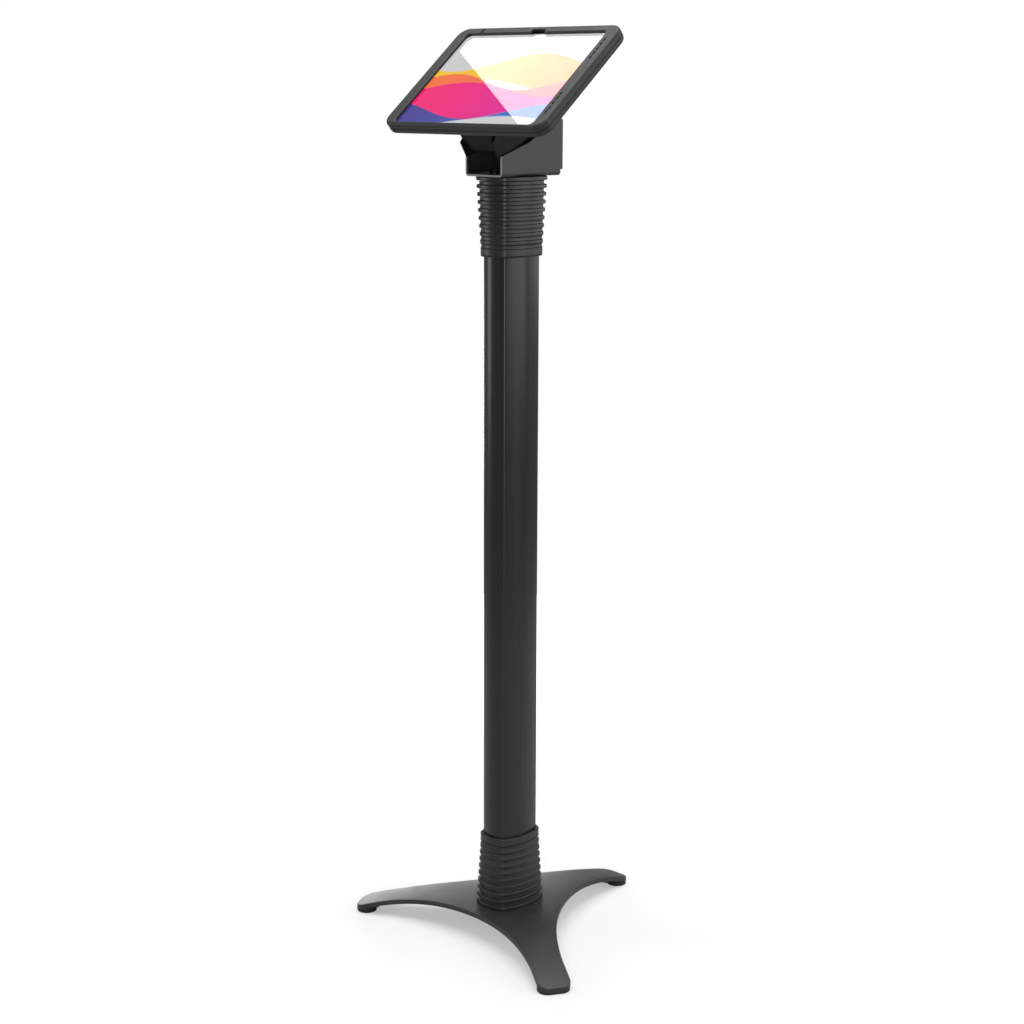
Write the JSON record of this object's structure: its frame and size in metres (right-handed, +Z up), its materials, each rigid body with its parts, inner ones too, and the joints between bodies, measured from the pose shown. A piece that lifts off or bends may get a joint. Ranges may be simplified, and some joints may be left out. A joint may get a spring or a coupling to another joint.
{
  "type": "adjustable tablet floor stand",
  "caption": "Floor stand for a tablet: arched three-legged base, bowed column with ribbed sleeves, height slide and a tilting case that holds the tablet.",
  "frame": {"origin": "on the floor, under the middle of the stand's box; the column axis is 48.7 mm ahead of it", "axes": "+Z up along the column, +Y towards the back leg, +X to the right of someone who faces the screen"},
  "size_m": [0.3658, 0.3202, 1.112],
  "materials": {
    "black_coat": "fine-textured satin black powder coat on steel sheet",
    "column_coat": "satin black coat on extruded alloy",
    "black_case": "fine-grained matte black moulding",
    "black_bush": "plain black moulding",
    "sleeve_rubber": "soft matte black rubber",
    "zinc_steel": "bright zinc plate",
    "black_screw": "black oxide",
    "brass_insert": "knurled brass",
    "white_nylon": "natural nylon",
    "bare_alloy": "satin anodised alloy",
    "cell_wrap": "dark cell wrap",
    "board_mask": "green board mask",
    "screen_panel": null,
    "cover_glass": "polished cover glass"
  },
  "bodies": {
    "base": {"base_plate": "black_coat", "foot_pads": "sleeve_rubber", "base_washers": "zinc_steel", "base_bolts": "zinc_steel", "column_foot": "bare_alloy", "foot_screws": "zinc_steel", "column_tube": "column_coat", "lower_sleeve": "sleeve_rubber", "upper_sleeve": "sleeve_rubber", "guide_bush": "black_bush", "lock_insert": "brass_insert", "lock_screw": "black_screw", "lock_pad": "white_nylon"},
    "mast": {"inner_mast": "bare_alloy", "mast_guide": "black_bush", "mast_cap": "bare_alloy", "head_bracket": "black_coat", "head_washers": "zinc_steel", "head_bolts": "zinc_steel", "pivot_bolts": "zinc_steel", "friction_washers": "white_nylon", "spring_washers": "zinc_steel", "pivot_nuts": "zinc_steel"},
    "case": {"tilt_bracket": "black_coat", "plate_screws": "black_screw", "case_inserts": "brass_insert", "case_back": "black_case", "case_front": "black_case", "case_screws": "black_screw", "cushion_pads": "sleeve_rubber", "tablet_body": "bare_alloy", "tablet_battery": "cell_wrap", "tablet_board": "board_mask", "tablet_display": "screen_panel", "tablet_glass": "cover_glass", "front_camera": "cover_glass"},
    "power_cover": {"power_button": "sleeve_rubber"},
    "volume_up_cover": {"volume_up_button": "sleeve_rubber"},
    "volume_down_cover": {"volume_down_button": "sleeve_rubber"}
  },
  "joints": [
    {"name": "height_slide", "type": "slide", "parent": "base", "child": "mast", "axis": [0, 0, 1], "range_m": [0, 0.2]},
    {"name": "case_tilt", "type": "hinge", "parent": "mast", "child": "case", "pos_m": [0, -0.02666, 1.0103], "axis": [1, 0, 0], "range_deg": [-35, 15]},
    {"name": "power_press", "type": "slide", "parent": "case", "child": "power_cover", "axis": [1, 0, 0], "range_m": [0, 0.0008], "stiffness_N_per_m": 1200, "springref_m": -0.0005},
    {"name": "volume_up_press", "type": "slide", "parent": "case", "child": "volume_up_cover", "axis": [0, -0.766, -0.6428], "range_m": [0, 0.0008], "stiffness_N_per_m": 1200, "springref_m": -0.0005},
    {"name": "volume_down_press", "type": "slide", "parent": "case", "child": "volume_down_cover", "axis": [0, -0.766, -0.6428], "range_m": [0, 0.0008], "stiffness_N_per_m": 1200, "springref_m": -0.0005}
  ]
}
